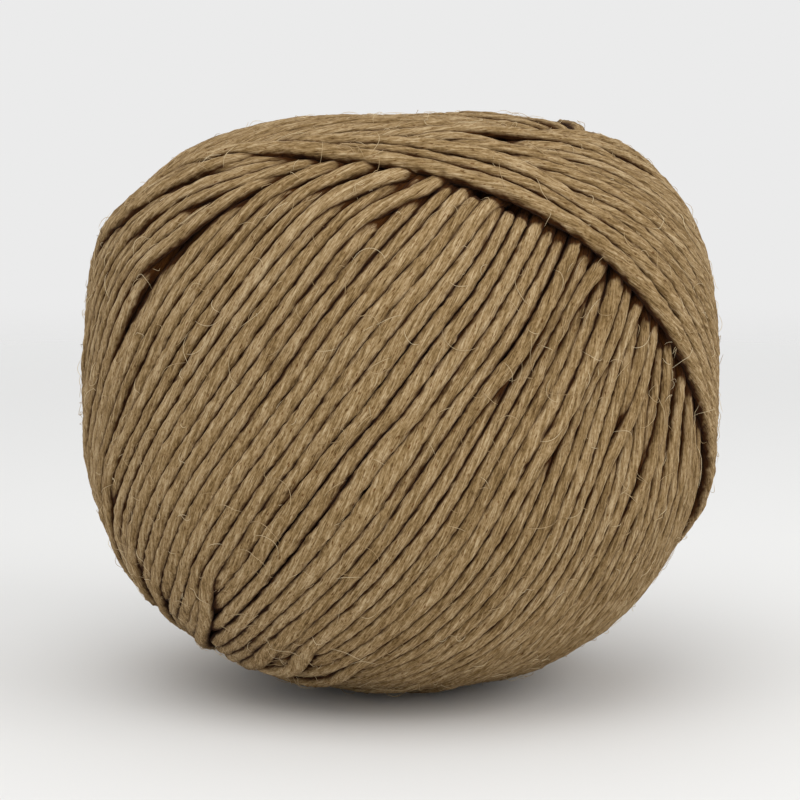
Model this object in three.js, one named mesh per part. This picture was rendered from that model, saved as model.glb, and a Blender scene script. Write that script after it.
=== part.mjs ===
// A machine-wound ball of ramie cord, as one closed solid of its wound form and main twists.
// Millimetres, +Z up. The origin is the middle of the small flat spot that the ball rests on.
// A ball winder lays each turn as nearly a great circle, and swings the plane of the turns round a
// winding axis. Every point of the ball therefore has two families of turns, and the later shows.
import * as THREE from 'three';

const BALL_WIDTH = 101.6;
const BALL_HEIGHT = 94.6;
const FLAT_SPOT_RISE = 1.0;       // how far the resting weight presses the underside in
const TOP_FULLNESS = 3.05;        // superellipse exponents: the shoulders are squarer on top
const BOTTOM_FULLNESS = 2.3;

const TWISTS = 56;                // main twists of two or three cords in one sweep of the plane
const LINES_PER_TWIST = 3;        // two edges of its back, and the groove beside it
const LINES = TWISTS * LINES_PER_TWIST;
const ROW_STEP = 2 * LINES_PER_TWIST;
const END_GAP = 18;               // closer lines than this only touch, so their rows are left out
const TURN_TILT = 20;             // degrees from the winding axis to the nearest point of a turn
const AXIS_RIGHT = 12.6;          // degrees by which the winding axis leans right of vertical
const AXIS_FRONT = 17.6;          // and towards the front
const LAST_TURN = 73.5;           // degrees round the axis to the plane of the last turn

const GROOVE_DEPTH = 1.3;
const DEPTH_SPREAD = 0.4;         // how unlike one another the grooves are, as a share
const BACK_SPREAD = 0.35;         // how unevenly high the backs of the twists stand, in mm
const SPACING_SPREAD = 0.3;       // how unevenly the lines are spaced, as a share of their pitch
const LAST_TURNS_STEP = 1.7;      // the last turns lie on top of the others by this much
const LAST_TURNS_FADE = 10;       // lines over which that step dies away
const END_HOLLOW = 3.5;           // depth of the dimple at each end of the winding axis
const END_HOLLOW_ANGLE = 12;      // degrees from the axis to the dimple's rim
const END_RINGS = [16, 10.5, 5.5];  // degrees from the axis to the rings that close each end
const INNER_TILT = 5;             // the deeper turns, which show at the ends, pass this close
const INNER_GROOVE = 0.9;

const CORD_COLOUR = 0xa18559;

const rad = THREE.MathUtils.degToRad;
const random = seededRandom(7);
const lines = makeLines();
const ballGroup = new THREE.Group();
ballGroup.add(makeBall());

function seededRandom(seed) {
  let state = seed;
  return () => {
    state = (state * 16807) % 2147483647;
    return state / 2147483647;
  };
}

// The winding axis and two directions square to it.
function windingFrame() {
  const right = rad(AXIS_RIGHT);
  const front = rad(-AXIS_FRONT);
  const axis = new THREE.Vector3(
    Math.sin(right) * Math.cos(front), Math.sin(front), Math.cos(right) * Math.cos(front));
  const across = new THREE.Vector3(0, 1, 0).cross(axis).normalize();
  return { axis, across, along: axis.clone().cross(across) };
}

// The lines along the twists, numbered from the last turn back to the oldest that shows: the
// normal of each line's plane, and how far it stands above or below the mean surface.
function makeLines() {
  const frame = windingFrame();
  const tilt = rad(TURN_TILT);
  return Array.from({ length: LINES }, (_, age) => {
    const uneven = age === 0 ? 0 : spread(SPACING_SPREAD);
    const turned = rad(LAST_TURN) + ((age + uneven) / LINES) * 2 * Math.PI;
    const normal = frame.across.clone().multiplyScalar(Math.cos(turned) * Math.cos(tilt))
      .addScaledVector(frame.along, Math.sin(turned) * Math.cos(tilt))
      .addScaledVector(frame.axis, Math.sin(tilt));
    const isGroove = age % LINES_PER_TWIST === LINES_PER_TWIST - 1;
    const relief = isGroove ? -GROOVE_DEPTH * (1 + spread(DEPTH_SPREAD)) : spread(BACK_SPREAD);
    const step = LAST_TURNS_STEP * Math.exp(-age / LAST_TURNS_FADE);
    return { normal, relief, step };
  });
}

// A random amount from minus to plus "reach".
function spread(reach) {
  return (random() * 2 - 1) * reach;
}

// Distance from the middle of the ball to its mean surface, in the direction of a unit vector.
function meanRadius(direction) {
  const blend = THREE.MathUtils.smoothstep(direction.z, -0.5, 0.5);
  const fullness = THREE.MathUtils.lerp(BOTTOM_FULLNESS, TOP_FULLNESS, blend);
  const flat = Math.hypot(direction.x, direction.y) / (BALL_WIDTH / 2);
  const upright = Math.abs(direction.z) / (BALL_HEIGHT / 2);
  return (flat ** fullness + upright ** fullness) ** (-1 / fullness);
}

// A surface point, with the underside pressed flat where it would sink through the floor.
function surfacePoint(direction, rise) {
  const middle = BALL_HEIGHT / 2 - FLAT_SPOT_RISE;
  const point = direction.clone().multiplyScalar(meanRadius(direction) + rise);
  point.z = Math.max(point.z + middle, 0);
  return point;
}

// The line that shows where line "first" crosses the line "gap" places older than it.
function visibleLine(first, gap) {
  return Math.min(first, (first + gap) % LINES);
}

// Relief dies away towards the ends, where neighbouring turns close up.
function crowding(direction, axis) {
  const sine = Math.sqrt(1 - direction.dot(axis) ** 2);
  const room = Math.sqrt(Math.max(0, sine ** 2 - Math.sin(rad(TURN_TILT)) ** 2));
  return THREE.MathUtils.smoothstep(room, 0, 0.5);
}

// The lattice: row by row from one end of the winding axis to the other, the points where each
// line crosses the line "gap" places older. A row is numbered by the younger of the two.
function latticeRows(axis) {
  const rows = [];
  for (let gap = END_GAP; gap <= LINES - END_GAP; gap += ROW_STEP) {
    rows.push(lines.map((line, first) => {
      const older = lines[(first + gap) % LINES];
      const direction = line.normal.clone().cross(older.normal).normalize();
      const shown = lines[visibleLine(first, gap)];
      const rise = shown.relief * crowding(direction, axis) + shown.step;
      return surfacePoint(direction, rise);
    }));
  }
  return rows;
}

// How far round the axis a deeper turn swings on its way in from the lattice's edge.
function swirl(angle) {
  const swing = (at) => Math.acos(-Math.tan(rad(INNER_TILT)) / Math.tan(rad(at)));
  return swing(angle) - swing(TURN_TILT);
}

// Rings that close one end: each has half as many points as the one before it.
function endRings(frame, towards) {
  const rings = [];
  let count = LINES;
  for (const angle of END_RINGS) {
    count /= 2;
    const hollow = END_HOLLOW * (1 - THREE.MathUtils.smoothstep(angle, 0, END_HOLLOW_ANGLE));
    const start = rad(LAST_TURN) + endPhase(towards) + swirl(angle);
    const ring = [];
    for (let place = 0; place < count; place += 1) {
      const turned = start + (place / count) * 2 * Math.PI;
      const direction = frame.axis.clone().multiplyScalar(Math.cos(rad(angle)) * towards)
        .addScaledVector(frame.across, Math.cos(turned) * Math.sin(rad(angle)))
        .addScaledVector(frame.along, Math.sin(turned) * Math.sin(rad(angle)));
      const groove = place % LINES_PER_TWIST === 0 ? INNER_GROOVE : 0;
      ring.push(surfacePoint(direction, -hollow - groove));
    }
    rings.push(ring);
  }
  return rings;
}

// Lines END_GAP apart cross opposite their own planes at the upper end, half a gap further round,
// and on the planes' own side at the lower end, half a gap short of them.
function endPhase(towards) {
  const halfGap = (Math.PI * END_GAP) / LINES;
  return towards > 0 ? Math.PI + halfGap : -halfGap;
}

// Joins the row whose lines cross "gap" places apart to the next row. Each half of the ball is
// ruled by the lines that show there. At the last turn the older lines end in a fan.
function addRow(triangles, start, gap) {
  const here = (line) => start + (line % LINES);
  const next = (line) => start + LINES + ((line + LINES) % LINES);
  const edge = LINES - gap;
  for (let line = 0; line < edge; line += 1) {
    const diving = line >= edge - ROW_STEP;
    const top = diving ? next(edge - ROW_STEP) : next(line + 1);
    triangles.push(here(line + 1), here(line), top);
    if (!diving) triangles.push(top, here(line), next(line));
  }
  for (let age = 0; age < gap + ROW_STEP; age += 1) {
    const diving = age >= gap;
    const foot = here(edge + Math.min(age, gap));
    const upper = next(edge + age - ROW_STEP);
    const upperAfter = next(edge + age + 1 - ROW_STEP);
    triangles.push(upperAfter, foot, upper);
    if (!diving) triangles.push(here(edge + age + 1), foot, upperAfter);
  }
}

// Joins a ring to the next one, which has half as many points; "flip" turns the faces over.
function addHalvingRing(triangles, outer, outerCount, inner, flip) {
  const push = (a, b, c) => (flip ? triangles.push(a, c, b) : triangles.push(a, b, c));
  const innerCount = outerCount / 2;
  for (let column = 0; column < innerCount; column += 1) {
    const here = inner + column;
    const after = inner + ((column + 1) % innerCount);
    const left = outer + 2 * column;
    const middle = left + 1;
    const right = outer + ((2 * column + 2) % outerCount);
    push(left, middle, here);
    push(middle, after, here);
    push(middle, right, after);
  }
}

function addFan(triangles, ring, count, tip, flip) {
  for (let column = 0; column < count; column += 1) {
    const here = ring + column;
    const after = ring + ((column + 1) % count);
    triangles.push(...(flip ? [here, tip, after] : [here, after, tip]));
  }
}

function addEnd(points, triangles, frame, towards, edgeStart) {
  const flip = towards < 0;
  let outer = edgeStart;
  let count = LINES;
  for (const ring of endRings(frame, towards)) {
    const start = points.length;
    points.push(...ring);
    addHalvingRing(triangles, outer, count, start, flip);
    outer = start;
    count = ring.length;
  }
  points.push(surfacePoint(frame.axis.clone().multiplyScalar(towards), -END_HOLLOW));
  addFan(triangles, outer, count, points.length - 1, flip);
}

function makeBall() {
  const frame = windingFrame();
  const rows = latticeRows(frame.axis);
  const points = rows.flat();
  const triangles = [];
  for (let row = 0; row < rows.length - 1; row += 1) {
    addRow(triangles, row * LINES, END_GAP + row * ROW_STEP);
  }
  addEnd(points, triangles, frame, 1, 0);
  addEnd(points, triangles, frame, -1, (rows.length - 1) * LINES);

  const geometry = new THREE.BufferGeometry().setFromPoints(points);
  geometry.setIndex(triangles);
  geometry.computeVertexNormals();
  const cord = new THREE.MeshStandardMaterial({ color: CORD_COLOUR, roughness: 0.9, metalness: 0 });
  const ball = new THREE.Mesh(geometry, cord);
  ball.name = 'cord_ball';
  return ball;
}

export default ballGroup;
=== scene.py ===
"""A machine-wound ball of ramie cord, wound turn by turn to the form of the frame's own solid.

A ball winder lays each turn as nearly a great circle and swings the plane of the turns round a
winding axis. Here the same cord is wound on a map of heights: each turn lies where the turns under
it let it lie, and only the stretches that end up showing are made into mesh.
"""
import math

import bpy
import numpy as np
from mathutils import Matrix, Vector

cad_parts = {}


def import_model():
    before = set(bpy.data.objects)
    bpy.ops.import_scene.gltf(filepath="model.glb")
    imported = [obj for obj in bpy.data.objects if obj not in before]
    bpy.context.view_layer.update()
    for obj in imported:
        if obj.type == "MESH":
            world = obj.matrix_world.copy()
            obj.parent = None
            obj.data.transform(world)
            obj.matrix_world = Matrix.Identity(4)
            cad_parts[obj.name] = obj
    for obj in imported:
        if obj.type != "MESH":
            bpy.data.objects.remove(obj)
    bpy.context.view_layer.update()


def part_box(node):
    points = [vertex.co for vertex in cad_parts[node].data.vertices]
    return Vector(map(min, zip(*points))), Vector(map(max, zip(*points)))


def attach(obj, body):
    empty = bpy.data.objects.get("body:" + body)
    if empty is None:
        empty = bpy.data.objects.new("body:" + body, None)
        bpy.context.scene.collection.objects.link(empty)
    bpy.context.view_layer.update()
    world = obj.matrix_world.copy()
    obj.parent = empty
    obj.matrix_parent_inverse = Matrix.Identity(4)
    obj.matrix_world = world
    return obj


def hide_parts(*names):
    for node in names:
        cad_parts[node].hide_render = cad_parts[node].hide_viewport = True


# Sizes are in millimetres, as a cord maker would give them, and angles in degrees.
MM = 0.001

# The form that the cord is wound to.
FLAT_SPOT_RISE = 1.0    # how far the resting weight presses the underside in
BOTTOM_FULLNESS = 2.3   # the exponent of a superellipse
TOP_EXTRA_FULLNESS = 0.75  # added to it above, where the shoulders are squarer
PIT_DEPTH = 7.0         # each end of the winding axis is open this deep
PIT_ANGLE = 9.0
FLOOR_CLEARANCE = 0.15  # the lowest cords stay this far above the floor

# The cord, and how much of it is wound.
CORD = 2.2
SQUEEZE = 0.82          # touching cords press into each other, to this share of their radius
TURNS_PER_SWEEP = 136   # turns laid while the winding plane swings once round
SWEEPS = 1.6
LAYER_DEPTH = 4.0       # what one sweep adds to the ball
STEP = 0.6              # distance between samples along the cord while it is wound
SHORT_SWELL = (9.0, 0.04)  # the cord's thickness changes over this length, by this share
LONG_SWELL = (70.0, 0.05)
PLUMP = 0.25            # nothing presses the last turns, so they stay this much thicker
PLUMP_TURNS = 4.0
FLATTENED = 0.9         # a cord is pressed this much thinner, and spread this much wider
SPREAD = 1.04

# How the winding planes lie in the frame. A swing of zero is the last turn's plane.
AXIS_RIGHT = 25.9       # the winding axis leans right of vertical by this
AXIS_FRONT = 32.4       # and towards the front
LAST_PLANE = 92.7       # how far round the winding axis the last turn's plane lies
TILT = 11.8             # the planes lean from the winding axis by this on average
SWAY = ((2, 3.6, 12.2), (3, -0.9, 4.6))  # and sway this many times a sweep, by cosine and sine

# How one turn differs from a great circle.
WANDER = 0.2            # how far the cord strays to the side, as a share of its thickness
WANDER_LENGTH = 26.0    # length over which it strays one way
BUNCHING = 0.15         # how unevenly the turns are spaced, as a share of the spacing
BUNCHING_TURNS = 0.8
WINDING_SEED = 11
END_PLACE = 0.5         # the cord ends this share of a turn from the top, at the back
TUCK_LENGTH = 14.0      # over which its end is drawn in under its neighbours
TUCK_DEPTH = 2.6
TUCK_CURVE = 1.5
HOLLOWS = ((12.3, -41.3, 35.4), (17.3, -41.1, 33.5))  # from the ball's middle, beside its band
HOLLOW_DEPTH = 3.0
HOLLOW_REACH = 1.7
HOLLOW_TURNS = 10       # the last turns, which lie over them

# How a taut cord finds its place on the cords under it.
MAP_CELLS = 240         # cells along each edge of the six-sided map of heights
LATERAL = 0.3           # distance between the places to the side that a turn tries
LATERAL_TRIES = 7
STAY_PULL = 0.2         # how strongly tension holds a turn to its own plane
BEND_COST = 0.35        # and how much it resists a change of place
BESIDE = 2.05           # a turn likes to lie this far from the last one, or right on top of it
BESIDE_PULL = 0.8
UNDERSIDE = 0.95        # share of the radius, to either side, that rests on what is under it
PLACES_ACROSS = 9       # places across a cord where its height is felt or laid
SINK_IN = 0.15          # how far a cord sinks into one that it crosses
SPANS = (16, 8, 4, 2, 1)  # samples to either side over which it is drawn straight
GIVE = 1.3              # crowded cords squash, so none rises more than this above its layer
DENT_WIDTH = 2.4        # a cord that is pressed in takes its neighbours along this far aside
DENT_FALL = 1.7         # how steeply that dies away
DENT_PLACES = 17
PRESSED_ACROSS = (-0.4, 0.0, 0.4)  # places across a cord where that is felt
COARSE_CELLS = 24       # cells along each edge where the wound ball is evened out
EVEN_OUT_ANGLE = 6.0

# Over how many samples the cord eases from one place, height or width to the next.
SLIDE_REACH = 6.0
BEND_REACH = 1.2
TAUT_REACH = 2.2
PRESS_REACH = 1.5
JOIN_REACH = 6.0
WIDTH_REACH = 4.0

# Which stretches are built, and how wide the cord lies in them.
SEEN_SHARES = (-0.9, -0.6, -0.25, 0.25, 0.6, 0.9)  # where across its width a cord may show
SEEN_MARGIN = 0.06      # it still shows when this far under what lies over it
HIDDEN_MARGIN = 2.5     # a stretch is built this far past where it stops showing
NEAR_SHARE = (0.85, 2.3)  # a neighbour this many thicknesses away is met by spreading or yielding
WIDEST = 1.5            # and no cord spreads wider than this many thicknesses
PIECES = 6

# The cord's skin.
RING_STEP = 0.9         # distance between the rings of the cord's mesh
FEWEST_RINGS = 4
RING_ANGLES = (-180, -122, -92, -68, -45, -22, 0, 22, 45, 68, 92, 122)  # from straight outward
SECTION_POWER = 0.8     # below one, the pressed section is flatter on top than an ellipse
WIDTH_SPREAD = 0.07     # some lengths lie flatter and wider than others
WIDTH_SPREAD_LENGTH = 20.0
LAY = 21.0              # length of cord in which its soft twist goes once round
BUNDLE_RELIEF = ((2, 0.012), (3, 0.022), (5, 0.022))  # fibre bundles round it, and how proud
BUNDLE_REACH = 5.0      # length over which a bundle comes and goes
ROUGHNESS = 0.045       # how far single fibres stand out of the skin, as a share of the radius
LONG_TONE = (60, 0.6)   # the cord's tone changes over this many samples, by this much
SHORT_TONE = (8, 0.5)
SKIN_SEED = 5

# The body inside, just under the lowest turns near by, dark with painted shade.
CORE_DEPTH = 0.8
CORE_ROWS = 90
CORE_COLUMNS = 180
CORE_LOOKS = (0.02, 0.04, 0.06)  # how far round each point the lowest turn is sought, in radians
CORE_DIRECTIONS = 12
CORE_RADIUS = 45.0      # of the cylinder that its pattern is laid out on
CORE_FLOOR = 1.0        # and it stays this far above the floor
CORE_PAINTED_SHADE = 0.8       # it gets the painted shade of cord this far down between its neighbours

# Single fibres that have worked loose.
LOOSE_FIBRES = 1400
LOOSE_SEED = 23
LOOSE_LENGTH = (1.5, 8.0)
LOOSE_SHORTENED = (0.3, 1.0)  # and each shows only a share of its length, between these two
LOOSE_RADIUS = 0.045    # a few single fibres that cling together
LOOSE_RINGS = 11
LOOSE_ANGLES = (90, 210, 330)
LOOSE_TAPER = (0.03, 0.98)  # the part of a half sine that its thickness follows
LOOSE_STRAY = 0.7       # radians by which they leave the cord's direction, and by which they curl
LOOSE_CURL = 1.5
LOOSE_CURL_POWER = 1.3  # they curl more towards their tips
LOOSE_ASIDE = 0.8       # they start this far from the middle of their cord at most
LOOSE_RISE = 0.5        # and stand this far off it at most
LOOSE_RISE_SPREAD = (0.1, 1.0)
LOOSE_FREE = 0.3        # share of them with one end in the air
FREE_RISE = 1.6         # which stands this many times as high
FREE_CURVE = 1.5
LOOSE_CLEARANCE = 0.02
LOOSE_FLOOR = 0.1       # height over the floor that none of them goes below

# The sheets that the finishes are baked to.
BAKE_STRIP = 7.4        # height of one cord's strip
END_PATCH = 0.8         # width of the patch for a closed end
END_FACE = 0.4          # and its height for each face
LOOSE_STRIP = 0.3       # height of a side of a loose fibre, as a share of its cell

# How far round each point, and in how many directions, higher neighbours are looked for, to paint shade
# where a cord lies down between them.
BURIED_LOOKS = (0.7, 1.4, 2.4)
BURIED_DIRECTIONS = 8
BURIED_LIMIT = 2        # a steeper neighbour than this counts no more
SLANTED = (0.3, 0.5, 0.81)  # a direction that serves to find others square to the surface's own

# Pattern sizes along the fibres and across them.
FIBRE_ANGLE = 10.0      # the twist turns the fibres this far from the cord's own direction
FIBRE_SIZE = (1.9, 0.12)  # really 0.03 mm across, drawn as coarse as it needs to show
BUNDLE_SIZE = (5.0, 0.45)
MOTTLE_SIZE = (0.6, 0.3)
FLECK_SIZE = (1.1, 0.26)
MOTTLE_SHARE = 0.5      # how much the mottle counts beside the fibres
TONE_SHARE = 0.06       # and the cord's own tone
FIBRE_RELIEF = 0.15     # how far the fibres stand out of the mesh

# Where the patterns above, and the painted shade in crevices, turn from one colour to the next.
SHADE_LIMITS = (0.65, 1.85)
FLECK_LIMITS = (0.6, 0.76)
CREVICE_SHADE_LIMITS = (0.07, 0.36)

RAMIE_COLOURS = (
    (0.0, "#5c4628"), (0.3, "#846a44"), (0.5, "#987e57"), (0.7, "#a98f69"), (1.0, "#c9b28c"))
LOOSE_COLOURS = ((0.0, "#a68a60"), (0.6, "#c9b189"), (1.0, "#e0cda8"))
FLECK_COLOUR = "#a88b66"
# painted shade, laid where a cord lies down between its neighbours
CREVICE_SHADE_COLOUR = "#6c4b20"

# The camera, as a photographer has it: in millimetres.
CAMERA_ELEVATION = 6.0
CAMERA_DISTANCE = 366.0
CAMERA_LENS = 100.0
CAMERA_SENSOR = 36.0

# The stage: the name, place, width and power of each lamp. Sizes are in metres, powers in watts.
FLOOR_RADIUS = 1.2
FLOOR_FADE = (0.12, 1.08)  # it fades away between these two radii
FLOOR_COLOUR = "#e4e4e3"
ROOM_COLOUR = "#ebebeb"
LAMPS = (("overhead", (-0.12, -0.35, 0.7), 0.6, 2.0), ("right_fill", (0.55, -0.35, 0.45), 0.5, 1.6))
LAMP_AIM = (0, 0, 0.05)


def srgb(hex_colour):
    """An sRGB hex colour, as the linear colour that Blender works in."""
    channels = [int(hex_colour[start:start + 2], 16) / 255 for start in (1, 3, 5)]
    linear = [c / 12.92 if c <= 0.04045 else ((c + 0.055) / 1.055) ** 2.4 for c in channels]
    return (*linear, 1.0)


def unit(vectors):
    return vectors / np.linalg.norm(vectors, axis=-1, keepdims=True)


def square_directions(outward):
    """Two directions square to each outward one and to each other."""
    first = unit(np.cross(outward, SLANTED))
    return first, np.cross(outward, first)


def smooth_noise(noise, count, reach):
    """Seeded noise of unit spread, smoothed over "reach" samples."""
    half = 3 * int(reach)
    grain = noise.standard_normal(count + 2 * half + 2)
    weights = np.exp(-0.5 * (np.arange(-half, half + 1) / reach) ** 2)
    smoothed = np.convolve(grain, weights, mode="same")[half:][:count]
    return smoothed / math.sqrt((weights ** 2).sum())


def blur(values, reach):
    """The values smoothed over "reach" samples, with the ends held."""
    half = int(3 * reach) + 1
    weights = np.exp(-0.5 * (np.arange(-half, half + 1) / reach) ** 2)
    padded = np.concatenate([np.full(half, values[0]), values, np.full(half, values[-1])])
    return np.convolve(padded, weights / weights.sum(), mode="valid")


def twice_as_dense(values):
    """The values of all samples, and those halfway between them."""
    return np.concatenate([values, (values[:-1] + values[1:]) / 2])


class BallForm:
    """The mean outer surface of the ball, as the frame's own solid has it."""

    def __init__(self, low, high):
        self.half_width = (high[0] - low[0]) / 2
        self.half_height = (high[2] - low[2] + FLAT_SPOT_RISE) / 2
        self.middle = self.half_height - FLAT_SPOT_RISE + low[2]

    def radius(self, directions):
        """Distance from the ball's middle to its surface."""
        upright = directions[..., 2]
        flat = np.sqrt(np.maximum(0, 1 - upright ** 2)) / self.half_width
        blend = np.clip(upright + 0.5, 0, 1)
        fullness = BOTTOM_FULLNESS + TOP_EXTRA_FULLNESS * blend * blend * (3 - 2 * blend)
        return (flat ** fullness + (np.abs(upright) / self.half_height) ** fullness) ** (-1 / fullness)

    def highest_allowed(self, directions, cord_radius):
        """How far out a cord may lie before it would sink through the floor."""
        down = np.maximum(-directions[..., 2], 1e-6)
        return (self.middle - cord_radius - FLOOR_CLEARANCE) / down


def face_directions(cells):
    """Unit vectors to the middles of the cells of the six-sided map."""
    across = np.tan(((np.arange(cells) + 0.5) / cells * 2 - 1) * math.pi / 4)
    first, second = np.meshgrid(across, across, indexing="ij")
    directions = np.empty((6, cells, cells, 3))
    for face in range(6):
        axis = face % 3
        directions[face, ..., axis] = 1 - 2 * (face // 3)
        directions[face, ..., (axis + 1) % 3] = first
        directions[face, ..., (axis + 2) % 3] = second
    return unit(directions)


class HeightMap:
    """How far out the winding reaches in each direction, on the six faces of a cube."""

    def __init__(self, form, sunk):
        self.bare = (form.radius(face_directions(MAP_CELLS)) - sunk).ravel()
        self.pressed = np.zeros_like(self.bare)
        self.clear()

    def clear(self):
        """Takes the cord off, and leaves what it is wound on."""
        self.reach = self.bare.copy()

    def cell(self, directions):
        """The number of the cell that each direction passes through."""
        axis = np.argmax(np.abs(directions), axis=-1)
        main = np.take_along_axis(directions, axis[..., None], -1)[..., 0]
        places = []
        for turned in (1, 2):
            other = np.take_along_axis(directions, ((axis + turned) % 3)[..., None], -1)[..., 0]
            place = (np.arctan(other / np.abs(main)) * 4 / math.pi + 1) * 0.5 * MAP_CELLS
            places.append(np.clip(place.astype(int), 0, MAP_CELLS - 1))
        face = axis + 3 * (main < 0)
        return (face * MAP_CELLS + places[0]) * MAP_CELLS + places[1]

    def reach_at(self, directions):
        return self.reach[self.cell(directions)]

    def lay(self, directions, heights):
        """Raises the map to these heights, where it is lower."""
        np.maximum.at(self.reach, self.cell(directions).ravel(), heights.ravel())

    def press(self, directions, depths):
        """Presses what is already wound deeper in, by the most that is asked for at each place."""
        dent = np.zeros_like(self.reach)
        np.maximum.at(dent, self.cell(directions).ravel(), depths.ravel())
        self.reach -= dent
        self.pressed += dent


def winding_axis():
    right, front = math.radians(AXIS_RIGHT), math.radians(-AXIS_FRONT)
    return np.array(
        [math.sin(right) * math.cos(front), math.sin(front), math.cos(right) * math.cos(front)])


def end_pits():
    """How deep the open ends of the winding are, in each cell of the map."""
    from_axis = np.arccos(np.clip(np.abs(face_directions(MAP_CELLS) @ winding_axis()), 0, 1))
    return PIT_DEPTH * np.exp(-(from_axis / math.radians(PIT_ANGLE)) ** 2)


def winding_planes(swing):
    """Normals of the planes that have swung by these angles, and two directions in each plane."""
    axis = winding_axis()
    across = unit(np.cross([0, 1, 0], axis))
    along = np.cross(axis, across)
    lean = np.full_like(swing, math.radians(TILT))
    for times, with_cosine, with_sine in SWAY:
        lean = lean + math.radians(with_cosine) * np.cos(times * swing)
        lean = lean + math.radians(with_sine) * np.sin(times * swing)
    turned = math.radians(LAST_PLANE) - swing
    outward = np.cos(turned)[:, None] * across + np.sin(turned)[:, None] * along
    normal = np.cos(lean)[:, None] * outward + np.sin(lean)[:, None] * axis
    upward = np.cos(lean)[:, None] * axis - np.sin(lean)[:, None] * outward
    return normal, upward, np.cross(normal, upward)


def move_aside(outward, side, shift):
    """Directions moved to the side by these shares of their radius, and their sides again."""
    outward = unit(outward + side * shift[:, None])
    side = unit(side - (side * outward).sum(1, keepdims=True) * outward)
    return outward, side


def cheapest_path(cost, start):
    """The column to take in each row, where a step to the next column costs something too."""
    columns = np.arange(cost.shape[1])
    best = np.full(len(columns), math.inf)
    best[start] = 0
    came_from = np.zeros(cost.shape, dtype=int)
    for row, price in enumerate(cost):
        lower = np.concatenate([[math.inf], best[:-1] + BEND_COST])
        upper = np.concatenate([best[1:] + BEND_COST, [math.inf]])
        choices = np.stack([lower, best, upper])
        pick = np.argmin(choices, axis=0)
        best = choices[pick, columns] + price
        came_from[row] = columns + pick - 1
    column = int(np.argmin(best))
    path = np.zeros(len(cost), dtype=int)
    for row in range(len(cost) - 1, -1, -1):
        path[row] = column
        column = came_from[row, column]
    return path


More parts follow.
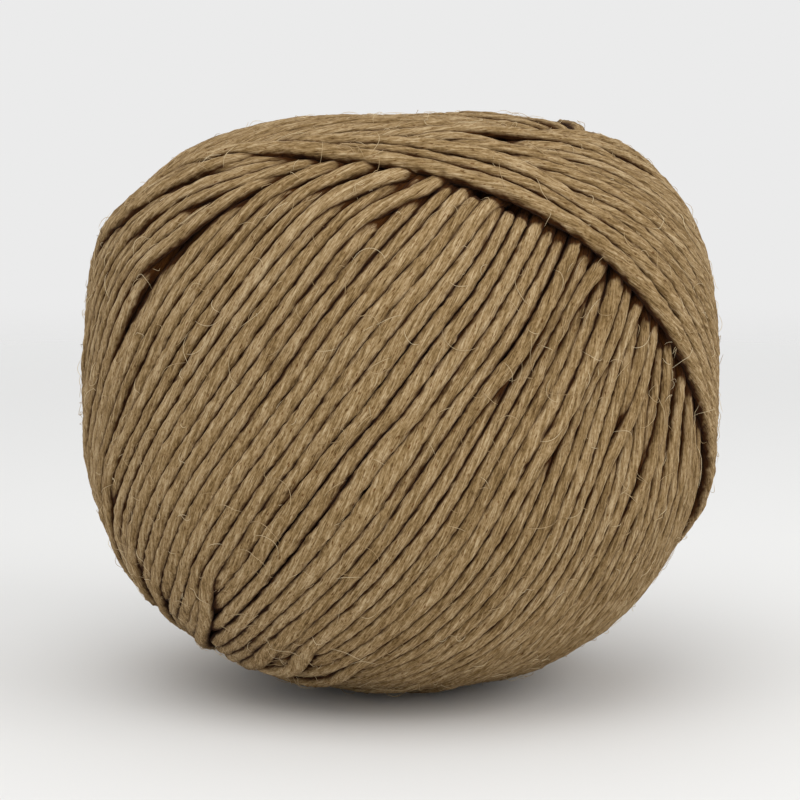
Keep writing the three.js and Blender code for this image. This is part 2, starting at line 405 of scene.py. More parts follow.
class Winder:
    """Lays the cord turn after turn, and keeps where every sample of it came to lie."""

    def __init__(self, form, sunk):
        self.form = form
        self.samples = int(round(math.tau * form.half_width / STEP))
        self.turns = int(TURNS_PER_SWEEP * SWEEPS)
        self.map = HeightMap(form, sunk)
        self.reach = CORD / 2 * SQUEEZE
        self.place_aside = LATERAL_TRIES
        self.last_height = None
        self.last_outward = None
        self.vary_cord()

    def vary_cord(self):
        """How the cord strays, how its turns bunch up, and how thick it is along its length."""
        total = self.samples * self.turns
        noise = np.random.default_rng(WINDING_SEED)
        self.wander = smooth_noise(noise, total, WANDER_LENGTH / STEP) * WANDER * CORD
        self.bunching = smooth_noise(noise, total, BUNCHING_TURNS * self.samples) * BUNCHING
        short, long = [share * smooth_noise(noise, total, length / STEP)
                       for length, share in (SHORT_SWELL, LONG_SWELL)]
        turns_left = (total - np.arange(total)) / self.samples
        self.thickness = 1 + short + PLUMP * np.exp(-turns_left / PLUMP_TURNS) + long

    def lay_all(self):
        """Lays all turns, then moves each in by what later turns pressed in under it."""
        laid = [self.lay_turn(turn) for turn in range(self.turns)]
        self.directions, self.sides, self.reaches, self.gaps, pressed = map(np.concatenate, zip(*laid))
        pressed_in_all = self.pressed_at(self.directions, self.sides, self.reaches)
        self.lower(blur(pressed_in_all - pressed, PRESS_REACH))

    def lower(self, depth):
        """Moves the whole cord in by these depths, and maps it anew."""
        self.reaches = self.reaches - depth
        self.points = self.directions * self.reaches[:, None]
        self.map.clear()
        self.lay_into_map(self.directions, self.sides, self.reaches, CORD / 2 * self.thickness)

    def lay_turn(self, turn):
        """Lays one turn. Returns the direction of each sample from the ball's middle, the direction
        to its side, its reach, the gap to the last turn, and how far the map was pressed in."""
        here = slice(turn * self.samples, (turn + 1) * self.samples)
        place = np.arange(here.start, here.stop) / self.samples
        outward, side = self.great_circle(place, self.bunching[here])
        mean = self.form.radius(outward)
        outward, side = move_aside(outward, side, self.wander[here] / mean)
        outward, side = move_aside(outward, side, self.choose_offsets(outward, side, mean) / mean)
        level = LAYER_DEPTH * SWEEPS * (place / self.turns - 1) - CORD / 2
        height, excess = self.settle(outward, side, mean, level)
        if turn == self.turns - 1:
            height = height - self.end_tuck()
        radius = CORD / 2 * self.thickness[here]
        reach = np.minimum(mean + height, self.form.highest_allowed(outward, radius * FLATTENED))
        gap = self.gap_to_last(outward, side, mean)
        self.press_into_map(outward, side, reach, excess)
        self.lay_into_map(outward, side, reach, radius)
        self.last_outward = outward
        return outward, side, reach, gap, self.pressed_at(outward, side, reach)

    def great_circle(self, place, bunching):
        """Directions round one turn of a plane that goes on swinging, and the plane's normals."""
        swing = -(self.turns - place + bunching) * math.tau / TURNS_PER_SWEEP
        normal, upward, forward = winding_planes(swing)
        round_angle = ((place + END_PLACE) * math.tau)[:, None]
        return np.cos(round_angle) * upward + np.sin(round_angle) * forward, normal

    def end_tuck(self):
        """How far each sample of the last turn is drawn in towards its end."""
        from_end = (self.samples - np.arange(self.samples)) * STEP / TUCK_LENGTH
        return TUCK_DEPTH * np.clip(1 - from_end, 0, 1) ** TUCK_CURVE

    def sink_into_hollows(self):
        """Sinks the older turns a little more where they dive under the last ones."""
        depth = np.zeros(len(self.reaches))
        for place in HOLLOWS:
            away = np.linalg.norm(self.directions - unit(np.array(place)), axis=1)
            depth += HOLLOW_DEPTH * np.exp(-(away * self.form.half_width / HOLLOW_REACH) ** 2)
        depth[-HOLLOW_TURNS * self.samples:] = 0
        self.lower(depth)

    def gap_to_last(self, outward, side, mean):
        """How far to the side of the last turn this one lies."""
        if self.last_outward is None:
            return np.zeros(len(mean))
        return ((outward - self.last_outward) * side).sum(axis=1) * mean

    def pressed_at(self, outward, side, reach):
        """How far what lies under each sample has been pressed in so far."""
        total = 0
        for aside in PRESSED_ACROSS:
            total = total + self.map.pressed[self.map.cell(outward + side * (aside / reach)[:, None])]
        return total / len(PRESSED_ACROSS)

    def heights_aside(self, outward, side, mean, places):
        """Heights over the mean surface at these places to the side of each sample."""
        spread = outward[:, None, :] + side[:, None, :] * (places[None, :, None] / mean[:, None, None])
        return self.map.reach_at(spread) - mean[:, None]

    def choose_offsets(self, outward, side, mean):
        """Slides the cord to the side where that lets it lie lower, as tension does."""
        window = int(self.reach / LATERAL)
        places = np.arange(-LATERAL_TRIES - window, LATERAL_TRIES + window + 1) * LATERAL
        under = self.heights_aside(outward, side, mean, places)
        offsets = np.arange(-LATERAL_TRIES, LATERAL_TRIES + 1) * LATERAL
        rests = np.full((len(mean), len(offsets)), -math.inf)
        for shift in range(-window, window + 1):
            rise = math.sqrt(self.reach ** 2 - (shift * LATERAL) ** 2)
            first = shift + window
            rests = np.maximum(rests, under[:, first:first + len(offsets)] + rise)
        cost = rests + STAY_PULL * offsets[None, :] ** 2
        if self.last_outward is not None:
            gap = self.gap_to_last(outward, side, mean)
            apart = np.minimum(np.abs(gap[:, None] + offsets[None, :]) / BESIDE, 1)
            cost = cost + BESIDE_PULL * 0.5 * (1 - np.cos(math.tau * apart))
        chosen = cheapest_path(cost, self.place_aside)
        self.place_aside = chosen[-1]
        return blur(offsets[chosen], SLIDE_REACH)

    def settle(self, outward, side, mean, level):
        """How high the taut cord lies, and how much of what it rises over it presses in instead."""
        places = np.linspace(-UNDERSIDE, UNDERSIDE, PLACES_ACROSS) * self.reach
        under = self.heights_aside(outward, side, mean, places)
        rests = (under + np.sqrt(self.reach ** 2 - places ** 2)[None, :]).max(axis=1)
        height = self.draw_straight(blur(rests, BEND_REACH), mean)
        height = np.maximum(blur(height, TAUT_REACH), rests - SINK_IN)
        free = blur(height, BEND_REACH)
        over = np.maximum(free - level, 0)
        height = np.minimum(free, level + GIVE * (1 - np.exp(-over / GIVE)))
        excess = free - height
        if self.last_height is not None:
            ease = np.exp(-np.arange(len(height)) / JOIN_REACH)
            height = height + (self.last_height - height[0]) * ease
        self.last_height = height[-1]
        return height, excess

    def draw_straight(self, height, mean):
        """Lifts the cord out of dips that are shorter than its spans."""
        step = math.tau / self.samples
        for span in SPANS:
            sag = mean * (span * step) ** 2 / 2
            before = np.concatenate([height[:span], height[:-span]])
            after = np.concatenate([height[span:], height[-span:]])
            height = np.maximum(height, (before + after) / 2 - sag)
        return height

    def press_into_map(self, outward, side, reach, excess):
        across = np.linspace(-DENT_WIDTH, DENT_WIDTH, DENT_PLACES)
        weights = np.exp(-(across / DENT_WIDTH * DENT_FALL) ** 2)
        spread = twice_as_dense(outward * reach[:, None])[:, None, :]
        spread = spread + twice_as_dense(side)[:, None, :] * across[None, :, None]
        self.map.press(spread, twice_as_dense(excess)[:, None] * weights[None, :])

    def lay_into_map(self, outward, side, reach, radius):
        outward, side = unit(twice_as_dense(outward)), twice_as_dense(side)
        reach, radius = twice_as_dense(reach), twice_as_dense(radius)
        offset = np.linspace(-1, 1, PLACES_ACROSS)[None, :] * radius[:, None]
        spread = (outward * reach[:, None])[:, None, :] + side[:, None, :] * offset[..., None]
        top = reach[:, None] + np.sqrt(np.maximum(0, radius[:, None] ** 2 - offset ** 2))
        self.map.lay(spread, top)


def even_out(form, winder, sunk):
    """How far to sink the form under the winding so that the wound ball takes the form's shape."""
    block = MAP_CELLS // COARSE_CELLS
    aim = form.radius(face_directions(MAP_CELLS)) - end_pits()
    proud = winder.map.reach - aim.ravel()
    proud = proud.reshape(6, COARSE_CELLS, block, COARSE_CELLS, block).mean(axis=(2, 4))
    centres = face_directions(COARSE_CELLS).reshape(-1, 3)
    weights = np.exp((centres @ centres.T - 1) / math.radians(EVEN_OUT_ANGLE) ** 2)
    smoothed = weights @ proud.ravel() / weights.sum(axis=1)
    smoothed = smoothed.reshape(6, COARSE_CELLS, COARSE_CELLS)
    return sunk + np.repeat(np.repeat(smoothed, block, axis=1), block, axis=2)


def wind_ball(form):
    """Winds the ball twice: once to see where turns pile up, then on a form that allows for it."""
    sunk = LAYER_DEPTH * SWEEPS + CORD / 2 + end_pits()
    for _ in range(2):
        winder = Winder(form, sunk)
        winder.lay_all()
        sunk = even_out(form, winder, sunk)
    winder.sink_into_hollows()
    return winder


def showing(winder):
    """Marks the samples of the cord that show, with a margin where each stretch dives under."""
    radius = CORD / 2 * winder.thickness
    seen = np.zeros(len(radius), dtype=bool)
    for share in SEEN_SHARES:
        offset = share * radius
        top = winder.reaches + np.sqrt(radius ** 2 - offset ** 2)
        spread = winder.points + winder.sides * offset[:, None]
        seen |= top > winder.map.reach_at(spread) - SEEN_MARGIN
    margin = int(HIDDEN_MARGIN / STEP)
    return np.convolve(seen, np.ones(2 * margin + 1), mode="same") > 0.5


def stretches(marks):
    """Start and end of each run of marked samples."""
    edges = np.flatnonzero(np.diff(np.concatenate([[0], marks.astype(int), [0]])))
    return edges.reshape(-1, 2)


def half_widths(winder):
    """How wide each sample lies on either side: as far as its neighbours leave it room."""
    gap = np.append(winder.gaps, np.full(winder.samples, BESIDE))
    before, after = gap[:-winder.samples], gap[winder.samples:]
    halves = []
    for room in (np.where(before > 0, before, -after), np.where(before > 0, after, -before)):
        near = (room > NEAR_SHARE[0] * CORD) & (room < NEAR_SHARE[1] * CORD)
        share = np.where(near, np.minimum(room / CORD, WIDEST) / winder.thickness, 1.0)
        halves.append(blur(share * SPREAD, WIDTH_REACH))
    return halves


def add_object(name, data):
    added = bpy.data.objects.new(name, data)
    bpy.context.collection.objects.link(added)
    return added


def make_mesh(name, points, face_groups, corner_uvs):
    """A smooth mesh from points in millimetres and groups of faces with equally many corners."""
    corners = np.concatenate([group.ravel() for group in face_groups])
    sizes = np.concatenate([np.full(len(group), group.shape[1]) for group in face_groups])
    mesh = bpy.data.meshes.new(name)
    mesh.vertices.add(len(points))
    mesh.vertices.foreach_set("co", (points * MM).astype(np.float32).ravel())
    mesh.loops.add(len(corners))
    mesh.loops.foreach_set("vertex_index", corners.astype(np.int32))
    mesh.polygons.add(len(sizes))
    mesh.polygons.foreach_set("loop_start", (np.cumsum(sizes) - sizes).astype(np.int32))
    mesh.polygons.foreach_set("use_smooth", np.full(len(sizes), True))
    for uv_name, uvs in corner_uvs.items():
        layer = mesh.uv_layers.new(name=uv_name)
        layer.data.foreach_set("uv", uvs.astype(np.float32).ravel())
    mesh.update(calc_edges=True)
    mesh.validate()
    return add_object(name, mesh)


def add_attribute(piece, name, values):
    layer = piece.data.attributes.new(name, "FLOAT", "POINT")
    layer.data.foreach_set("value", values.astype(np.float32))


def close_ring(ring):
    """Four-sided faces across the ring of points at the end of a tube."""
    half = np.arange(len(ring) // 2 - 1)
    return np.stack([ring[half], ring[half + 1], ring[-2 - half], ring[-1 - half]], axis=-1)


def quad_corners(left, right, low, high):
    """Corner coordinates of a grid of quads, in the order that the cord's faces list them."""
    corners = np.broadcast_arrays(left, low, left, high, right, high, right, low)
    return np.stack(corners, axis=-1).reshape(-1, 2)


def end_corners(left, low, width):
    """Corner coordinates for the faces of one closed end, stacked in a small patch."""
    faces = np.arange(len(RING_ANGLES) // 2 - 1)[:, None]
    across = np.broadcast_to(left + np.array([0, 1, 1, 0]) * width, (len(faces), 4))
    up = low + (faces + np.array([0, 0, 1, 1])) * END_FACE
    return np.stack([across, up], axis=-1).reshape(-1, 2)


class CordMesh:
    """Gathers stretches of cord into one mesh, each a tube that is closed at both ends."""

    def __init__(self, noise):
        self.noise = noise
        self.points = []
        self.faces = []
        self.tones = []
        self.lengths = []
        self.count = 0
        self.around = np.append(np.radians(RING_ANGLES), math.pi) * CORD / 2

    def add(self, centre, up, radius, halves, tone, start_length):
        """Adds one stretch, given ring by ring."""
        along = start_length + np.arange(len(centre)) * RING_STEP
        rings = self.rings(centre, up, radius, halves, along)
        count, sides = rings.shape[:2]
        index = self.count + np.arange(count * sides).reshape(count, sides)
        after = np.roll(index, -1, axis=1)
        quads = np.stack([index[:-1], after[:-1], after[1:], index[1:]], axis=-1)
        self.points.append(rings.reshape(-1, 3))
        self.faces += [quads.reshape(-1, 4), close_ring(index[0])[:, ::-1], close_ring(index[-1])]
        self.tones.append(np.repeat(tone, sides))
        self.lengths.append(along)
        self.count += count * sides

    def rings(self, centre, up, radius, halves, along):
        """Points round each ring: flattened, as wide as its neighbours let it be, and uneven."""
        tangent = unit(np.gradient(centre, axis=0))
        side = unit(np.cross(tangent, up))
        up = np.cross(side, tangent)
        angles = np.radians(RING_ANGLES)
        size = radius[:, None] * self.bundles(angles, along)
        outward = np.sign(np.cos(angles)) * np.abs(np.cos(angles)) ** SECTION_POWER * FLATTENED
        uneven = smooth_noise(self.noise, len(centre), WIDTH_SPREAD_LENGTH / RING_STEP)
        width = np.where(np.sin(angles)[None, :] > 0, halves[0][:, None], halves[1][:, None])
        sideways = np.sin(angles)[None, :] * width * (1 + WIDTH_SPREAD * uneven)[:, None]
        return centre[:, None, :] + size[..., None] * (
            outward[None, :, None] * up[:, None, :] + sideways[..., None] * side[:, None, :])

    def bundles(self, angles, along):
        """Fibre bundles that come and go, and turn round the cord with its twist."""
        turned = angles[None, :] - (math.tau * along / LAY)[:, None]
        relief = np.ones(turned.shape)
        for times, proud in BUNDLE_RELIEF:
            cosine, sine = self.come_and_go(len(along)), self.come_and_go(len(along))
            relief += proud * (cosine * np.cos(times * turned) + sine * np.sin(times * turned))
        return relief + ROUGHNESS * self.noise.standard_normal(relief.shape)

    def come_and_go(self, count):
        """Noise for one bundle, ring by ring, from the middle of a slightly longer run."""
        spare = 20
        noise = smooth_noise(self.noise, count + 2 * spare, BUNDLE_REACH / RING_STEP)
        return noise[spare:count + spare, None]

    def build(self, name, winder):
        points = np.concatenate(self.points)
        maps = {"Cord": self.cord_map(), "OFBake": self.bake_map()}
        piece = make_mesh(name, points, [np.concatenate(self.faces)], maps)
        add_attribute(piece, "tone", np.concatenate(self.tones))
        # the painted shade in the crevices goes by how far each point lies down between its neighbours
        add_attribute(piece, "painted_shade_amount", painted_shade_amount(winder, points))
        return piece

    def cord_map(self):
        """Where each corner lies on the cord's own skin: along it and round it."""
        low, high = self.around[:-1], self.around[1:]
        parts = []
        for along in self.lengths:
            parts.append(quad_corners(along[:-1, None], along[1:, None], low, high))
            parts += [end_corners(along[-1], 0.0, END_PATCH)] * 2
        return np.concatenate(parts)

    def bake_map(self):
        """Strips of skin laid one after the other in rows on a square sheet, with their ends."""
        total = sum(len(along) + 1 for along in self.lengths) * RING_STEP
        row_length = math.sqrt(total * BAKE_STRIP)
        parts = []
        place = 0.0
        for along in self.lengths:
            starts = place + np.arange(len(along) + 1)[:, None] * RING_STEP
            rows = np.floor(starts / row_length)
            left, low = starts - rows * row_length, rows * BAKE_STRIP
            heights = low[:-2] + (self.around - self.around[0])
            parts.append(quad_corners(left[:-2], left[:-2] + RING_STEP, heights[:, :-1], heights[:, 1:]))
            parts += [end_corners(left[end, 0], low[end, 0], END_PATCH * RING_STEP) for end in (-2, -1)]
            place += (len(along) + 1) * RING_STEP
        return np.concatenate(parts) / (row_length + 2 * BAKE_STRIP)


def painted_shade_amount(winder, points):
    """How far each point lies down between its neighbours, from nought to about one: how much shade is
    painted there.
    """
    centred = points - np.array([0, 0, winder.form.middle])
    reach = np.linalg.norm(centred, axis=1)
    outward = centred / reach[:, None]
    first, second = square_directions(outward)
    total = np.zeros(len(points))
    for distance in BURIED_LOOKS:
        for turned in np.arange(BURIED_DIRECTIONS) / BURIED_DIRECTIONS * math.tau + distance:
            aside = math.cos(turned) * first + math.sin(turned) * second
            around = winder.map.reach_at(outward + aside * (distance / reach)[:, None])
            total += np.clip((around - reach) / distance, 0, BURIED_LIMIT)
    return total / (len(BURIED_LOOKS) * BURIED_DIRECTIONS)


def build_cord(winder, marks):
    """The stretches of cord that show, shared out over pieces of about the same length."""
    noise = np.random.default_rng(SKIN_SEED)
    tone = sum(amount * smooth_noise(noise, len(marks), reach) for reach, amount in (LONG_TONE, SHORT_TONE))
    halves = half_widths(winder)
    runs = stretches(marks)
    per_piece = sum(end - start for start, end in runs) / PIECES
    meshes = [CordMesh(noise)]
    built = 0
    for start, end in runs:
        if built > per_piece * len(meshes):
            meshes.append(CordMesh(noise))
        built += end - start
        places = np.linspace(start, end - 1, max(FEWEST_RINGS, int((end - start) * STEP / RING_STEP)))
        x, y, z, thickness, left, right, tones = [
            np.interp(places, np.arange(start, end), values[start:end])
            for values in (*winder.points.T, winder.thickness, *halves, tone)]
        up = unit(np.stack([x, y, z], axis=1))
        centre = np.stack([x, y, z + winder.form.middle], axis=1)
        meshes[-1].add(centre, up, thickness * CORD / 2, (left, right), tones, start * STEP)
    return [mesh.build(f"cord_turns_{number + 1}", winder) for number, mesh in enumerate(meshes)]


def build_core(winder):
    """The cord under the turns that show, as one body just below the lowest of them, darkened with painted
    shade.
    """
    polar = (np.arange(CORE_ROWS) + 0.5)[:, None] / CORE_ROWS * math.pi
    round_angle = np.arange(CORE_COLUMNS) / CORE_COLUMNS * math.tau
    directions = np.stack(np.broadcast_arrays(
        np.sin(polar) * np.cos(round_angle), np.sin(polar) * np.sin(round_angle), np.cos(polar)), axis=-1)
    first, second = square_directions(directions)
    reach = winder.map.reach_at(directions)
    for distance in CORE_LOOKS:
        for turned in np.arange(CORE_DIRECTIONS) / CORE_DIRECTIONS * math.tau:
            aside = distance * (math.cos(turned) * first + math.sin(turned) * second)
            reach = np.minimum(reach, winder.map.reach_at(directions + aside))
    limit = winder.form.highest_allowed(directions, CORE_FLOOR)
    points = directions * np.minimum(reach - CORE_DEPTH, limit)[..., None]
    points[..., 2] += winder.form.middle
    points = points.reshape(-1, 3)

    index = np.arange(len(points)).reshape(CORE_ROWS, CORE_COLUMNS)
    after = np.roll(index, -1, axis=1)
    quads = np.stack([index[:-1], index[1:], after[1:], after[:-1]], axis=-1).reshape(-1, 4)
    faces = np.concatenate([quads, close_ring(index[0]), close_ring(index[-1])[:, ::-1]])
    flat = np.stack([np.arctan2(points[:, 1], points[:, 0]) * CORE_RADIUS, points[:, 2]], axis=-1)
    core = make_mesh("wound_core", points, [faces], {"Cord": flat[faces.ravel()]})
    # painted shade all over, as for cord well down between its neighbours
    add_attribute(core, "painted_shade_amount", np.full(len(points), CORE_PAINTED_SHADE))
    add_attribute(core, "tone", np.zeros(len(points)))
    return core


def build_loose_fibres(winder, marks):
    """Fibres that stand off the cords in short arcs and curls, some with an end in the air."""
    noise = np.random.default_rng(LOOSE_SEED)
    starts = noise.choice(np.flatnonzero(marks), LOOSE_FIBRES)
    share = np.linspace(0, 1, LOOSE_RINGS)[None, :]
    forward, aside = fibre_curls(noise, share)
    outward, side = unit(winder.points[starts]), winder.sides[starts]
    along = np.cross(outward, side)
    place = unit(outward[:, None] * winder.reaches[starts][:, None, None]
                 + along[:, None] * forward[..., None] + side[:, None] * aside[..., None])
    rise = LOOSE_RISE * noise.uniform(*LOOSE_RISE_SPREAD, LOOSE_FIBRES)[:, None]
    free = (noise.random(LOOSE_FIBRES) < LOOSE_FREE)[:, None]
    lift = np.where(free, FREE_RISE * share ** FREE_CURVE, np.sin(math.pi * share)) * rise
    taut = taut_over(winder.map.reach_at(place))
    points = place * (taut + lift + LOOSE_CLEARANCE)[..., None]
    points[..., 2] = np.maximum(points[..., 2] + winder.form.middle, LOOSE_FLOOR)
    skin, face_groups = fibre_tubes(points, unit(place))
    piece = make_mesh("loose_fibres", skin, face_groups, {"OFBake": fibre_bake_map()})
    add_attribute(piece, "tone", np.repeat(noise.random(LOOSE_FIBRES), LOOSE_RINGS * len(LOOSE_ANGLES)))
    return piece


def fibre_curls(noise, share):
    """How far each ring of each fibre lies along the cord and to its side."""
    length = noise.uniform(*LOOSE_LENGTH, LOOSE_FIBRES) * noise.uniform(*LOOSE_SHORTENED, LOOSE_FIBRES)
    heading = noise.normal(0, LOOSE_STRAY, LOOSE_FIBRES) + math.pi * noise.integers(0, 2, LOOSE_FIBRES)
    curl = noise.normal(0, LOOSE_CURL, LOOSE_FIBRES)
    turned = heading[:, None] + curl[:, None] * share ** LOOSE_CURL_POWER
    stride = (length / (LOOSE_RINGS - 1))[:, None]
    forward = np.cumsum(np.cos(turned) * stride, axis=1) - np.cos(turned[:, :1]) * stride
    aside = np.cumsum(np.sin(turned) * stride, axis=1) - np.sin(turned[:, :1]) * stride
    return forward, aside + noise.uniform(-LOOSE_ASIDE, LOOSE_ASIDE, LOOSE_FIBRES)[:, None]


def taut_over(ground):
    """Heights of fibres that are drawn over what they cross, without a kink."""
    padded = np.pad(ground, ((0, 0), (1, 1)), mode="edge")
    taut = np.maximum(ground, np.maximum(padded[:, :-2], padded[:, 2:]))
    padded = np.pad(taut, ((0, 0), (1, 1)), mode="edge")
    return np.maximum(ground, (padded[:, :-2] + taut + padded[:, 2:]) / 3)


def fibre_tubes(paths, up):
    """The points and faces of thin tubes, drawn out fine and closed at both ends."""
    tangent = unit(np.gradient(paths, axis=1) + 1e-9)
    side = unit(np.cross(tangent, up))
    up = np.cross(side, tangent)
    taper = LOOSE_RADIUS * np.sqrt(np.sin(np.linspace(*LOOSE_TAPER, LOOSE_RINGS) * math.pi))
    angles = np.radians(LOOSE_ANGLES)
    around = np.cos(angles)[:, None] * side[:, :, None] + np.sin(angles)[:, None] * up[:, :, None]
    points = paths[:, :, None] + around * taper[None, :, None, None]
    index = np.arange(points[..., 0].size).reshape(points.shape[:3])
    after = np.roll(index, -1, axis=2)
    quads = np.stack([index[:, :-1], index[:, 1:], after[:, 1:], after[:, :-1]], axis=-1)
    return points.reshape(-1, 3), [quads.reshape(-1, 4), index[:, 0], index[:, -1, ::-1]]


def fibre_bake_map():
    """A square cell of the sheet for each fibre: its sides in strips, and its ends beyond them."""
    cells = math.ceil(math.sqrt(LOOSE_FIBRES))
    number = np.arange(LOOSE_FIBRES)
    corner = np.stack([number % cells, number // cells], axis=-1)[:, None, None, None]
    size = np.array([1 / LOOSE_RINGS, LOOSE_STRIP])
    steps = np.arange(LOOSE_RINGS - 1)
    place = np.stack(np.meshgrid(steps, np.arange(len(LOOSE_ANGLES)), indexing="ij"), axis=-1)
    square = np.array([(0, 0), (1, 0), (1, 1), (0, 1)])
    sides = corner + (place[None, :, :, None] + square) * size
    ends = [corner[:, 0, 0] + (square[:3] * END_PATCH + (len(steps), row)) * size for row in (0, 1)]
    return np.concatenate([part.reshape(-1, 2) for part in (sides, *ends)]) / cells


def set_inputs(tree, node, inputs):
    """Gives each input a value, or a link where it is given another node's output."""
    for name, value in inputs.items():
        if isinstance(value, bpy.types.NodeSocket):
            tree.links.new(value, node.inputs[name])
        else:
            node.inputs[name].default_value = value


def add_node(tree, kind, inputs=None, **settings):
    """Adds a shader node with its settings, and with values or links for its inputs."""
    node = tree.nodes.new(kind)
    for name, value in settings.items():
        setattr(node, name, value)
    set_inputs(tree, node, inputs or {})
    return node


def new_material(name):
    material = bpy.data.materials.new(name)
    material.use_nodes = True
    return material, material.node_tree


def set_ramp(ramp, stops):
    elements = ramp.color_ramp.elements
    while len(elements) < len(stops):
        elements.new(0.5)
    for element, (place, colour) in zip(elements, stops):
        element.position = place
        element.color = srgb(colour)


def fibre_pattern(tree, place, size, detail):
    """Noise drawn out along the fibres, from coordinates in millimetres."""
    length, width = size
    drawn = add_node(tree, "ShaderNodeVectorMath", {0: place, 1: (1 / length, 1 / width, 1)},
                     operation="MULTIPLY").outputs[0]
    return add_node(tree, "ShaderNodeTexNoise", {"Vector": drawn, "Scale": 1.0, "Detail": detail},
                    noise_dimensions="2D").outputs[0]


def stain_and_painted_shade(tree, colour, amount, limits, dark_colour):
    """A colour darkened towards a darker one, where an amount passes from one limit to the other: by real
    flecks of bark, and by painted shade in the crevices.
    """
    share = add_node(tree, "ShaderNodeMapRange",
                     {"Value": amount, "From Min": limits[0], "From Max": limits[1]},
                     interpolation_type="SMOOTHSTEP").outputs[0]
    return add_node(tree, "ShaderNodeMix", {"Factor": share, 6: colour, 7: srgb(dark_colour)},
                    data_type="RGBA", blend_type="MULTIPLY").outputs[2]


def ramie_cord_finish():
    """Softly twisted ramie: matt, with fine fibres that run a little across the cord."""
    material, tree = new_material("twisted_ramie")
    cord = add_node(tree, "ShaderNodeUVMap", uv_map="Cord").outputs[0]
    lay = add_node(tree, "ShaderNodeMapping",
                   {"Vector": cord, "Rotation": (0, 0, math.radians(FIBRE_ANGLE))}).outputs[0]
    bundles = fibre_pattern(tree, lay, BUNDLE_SIZE, 2.0)
    fibres = fibre_pattern(tree, lay, FIBRE_SIZE, 3.0)
    mottle = fibre_pattern(tree, cord, MOTTLE_SIZE, 2.0)
    streaks = add_node(tree, "ShaderNodeMath", {0: bundles, 1: fibres}, operation="ADD").outputs[0]
    relief = add_node(tree, "ShaderNodeMath", {0: mottle, 1: MOTTLE_SHARE, 2: streaks},
                      operation="MULTIPLY_ADD").outputs[0]
    bump = add_node(tree, "ShaderNodeBump",
                    {"Height": relief, "Strength": 1.0, "Distance": FIBRE_RELIEF * MM}).outputs[0]
    set_inputs(tree, tree.nodes["Principled BSDF"], {
        "Base Color": ramie_colour(tree, lay, relief), "Normal": bump, "Roughness": 0.9, "IOR": 1.5,
        "Specular IOR Level": 0.1, "Sheen Weight": 0.02, "Sheen Roughness": 0.5})
    return material


def ramie_colour(tree, lay, relief):
    """Pale and brown fibres, with brown flecks of bark, and painted shade where cords lie down between
    their neighbours.
    """
    tone = add_node(tree, "ShaderNodeAttribute", attribute_name="tone").outputs["Fac"]
    toned = add_node(tree, "ShaderNodeMath", {0: tone, 1: TONE_SHARE, 2: relief},
                     operation="MULTIPLY_ADD").outputs[0]
    shade = add_node(tree, "ShaderNodeMapRange",
                     {"Value": toned, "From Min": SHADE_LIMITS[0], "From Max": SHADE_LIMITS[1]},
                     interpolation_type="SMOOTHSTEP").outputs[0]
    ramp = add_node(tree, "ShaderNodeValToRGB", {"Fac": shade})
    set_ramp(ramp, RAMIE_COLOURS)
    flecks = fibre_pattern(tree, lay, FLECK_SIZE, 3.0)
    flecked = stain_and_painted_shade(tree, ramp.outputs[0], flecks, FLECK_LIMITS, FLECK_COLOUR)
    # painted shade in the crevices, darkest where a cord lies deepest
    sunk = add_node(tree, "ShaderNodeAttribute", attribute_name="painted_shade_amount").outputs["Fac"]
    return stain_and_painted_shade(tree, flecked, sunk, CREVICE_SHADE_LIMITS, CREVICE_SHADE_COLOUR)


def loose_fibre_finish():
    """Single fibres: paler than the cord, since nothing shades them, and a little shiny."""
    material, tree = new_material("loose_ramie_fibres")
    tone = add_node(tree, "ShaderNodeAttribute", attribute_name="tone").outputs["Fac"]
    ramp = add_node(tree, "ShaderNodeValToRGB", {"Fac": tone})
    set_ramp(ramp, LOOSE_COLOURS)
    set_inputs(tree, tree.nodes["Principled BSDF"], {
        "Base Color": ramp.outputs[0], "Roughness": 0.7, "IOR": 1.5, "Specular IOR Level": 0.3})
    return material


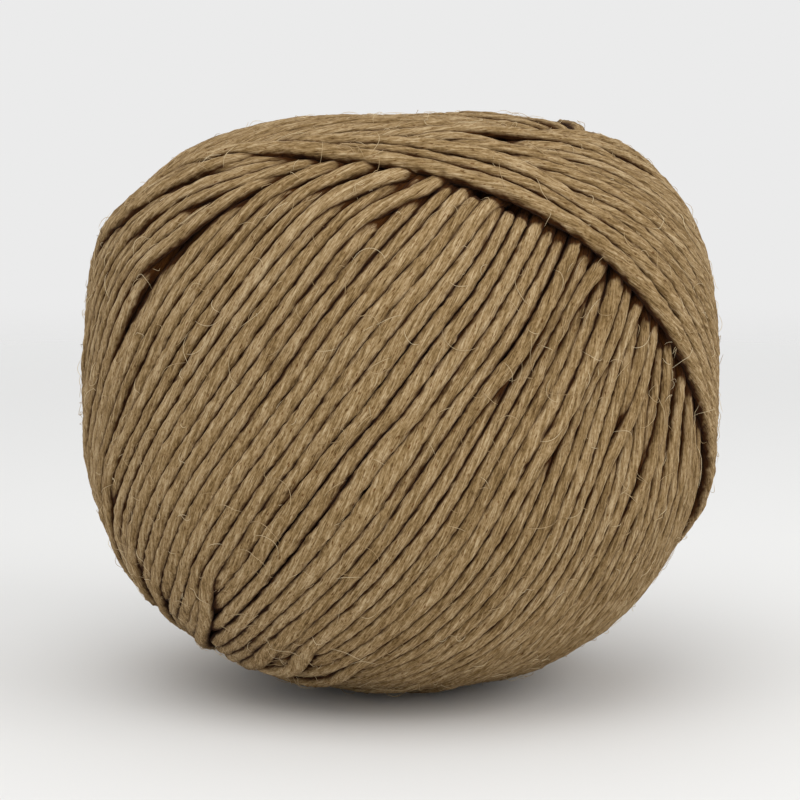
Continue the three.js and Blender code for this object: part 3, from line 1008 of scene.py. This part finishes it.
def pale_floor_finish():
    """Matt pale paper that fades away with distance, so that no edge or line shows."""
    material, tree = new_material("pale_floor")
    paper = tree.nodes["Principled BSDF"]
    set_inputs(tree, paper, {"Base Color": srgb(FLOOR_COLOUR), "Roughness": 0.9})
    clear = add_node(tree, "ShaderNodeBsdfTransparent").outputs[0]
    place = add_node(tree, "ShaderNodeNewGeometry").outputs["Position"]
    away = add_node(tree, "ShaderNodeVectorMath", {0: place}, operation="LENGTH").outputs["Value"]
    fade = add_node(tree, "ShaderNodeMapRange",
                    {"Value": away, "From Min": FLOOR_FADE[0], "From Max": FLOOR_FADE[1]},
                    interpolation_type="SMOOTHSTEP").outputs[0]
    mixed = add_node(tree, "ShaderNodeMixShader", {0: fade, 1: paper.outputs[0], 2: clear})
    set_inputs(tree, tree.nodes["Material Output"], {"Surface": mixed.outputs[0]})
    return material


def set_stage():
    """A pale floor in an evenly lit pale room."""
    bpy.ops.mesh.primitive_circle_add(vertices=64, radius=FLOOR_RADIUS, fill_type="NGON")
    floor = bpy.context.object
    floor.name = "floor"
    floor.data.materials.append(pale_floor_finish())
    world = bpy.data.worlds.new("studio")
    bpy.context.scene.world = world
    world.use_nodes = True
    tree = world.node_tree
    set_inputs(tree, tree.nodes["Background"], {"Color": srgb(ROOM_COLOUR), "Strength": 1.0})


def add_lamp(name, place, size, power):
    data = bpy.data.lights.new(name, "AREA")
    data.size = size
    data.energy = power
    lamp = add_object(name, data)
    lamp.location = place
    direction = Vector(LAMP_AIM) - Vector(place)
    lamp.rotation_euler = direction.to_track_quat("-Z", "Y").to_euler()


def set_camera(form):
    data = bpy.data.cameras.new("camera")
    data.lens = CAMERA_LENS
    data.sensor_width = CAMERA_SENSOR
    camera = add_object("camera", data)
    lift = math.radians(CAMERA_ELEVATION)
    middle = Vector((0, 0, form.middle * MM))
    back = Vector((0, -math.cos(lift), math.sin(lift)))
    camera.location = middle + back * CAMERA_DISTANCE * MM
    camera.rotation_euler = (-back).to_track_quat("-Z", "Y").to_euler()
    bpy.context.scene.camera = camera


def hand_over(piece, finish):
    """Gives a piece its finish in a material slot of its own, and ties it to the frame's body."""
    piece.data.materials.append(finish)
    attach(piece, "root")


def main():
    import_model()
    low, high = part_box("cord_ball")
    form = BallForm(np.array(low) / MM, np.array(high) / MM)
    set_camera(form)
    set_stage()
    for lamp in LAMPS:
        add_lamp(*lamp)
    bpy.context.scene.view_settings.view_transform = "Standard"

    winder = wind_ball(form)
    marks = showing(winder)
    finish = ramie_cord_finish()
    core = build_core(winder)
    hand_over(core, finish)
    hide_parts("cord_ball")
    hand_over(build_loose_fibres(winder, marks), loose_fibre_finish())
    for piece in build_cord(winder, marks):
        hand_over(piece, finish)

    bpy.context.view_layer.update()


if __name__ == "__main__":
    main()
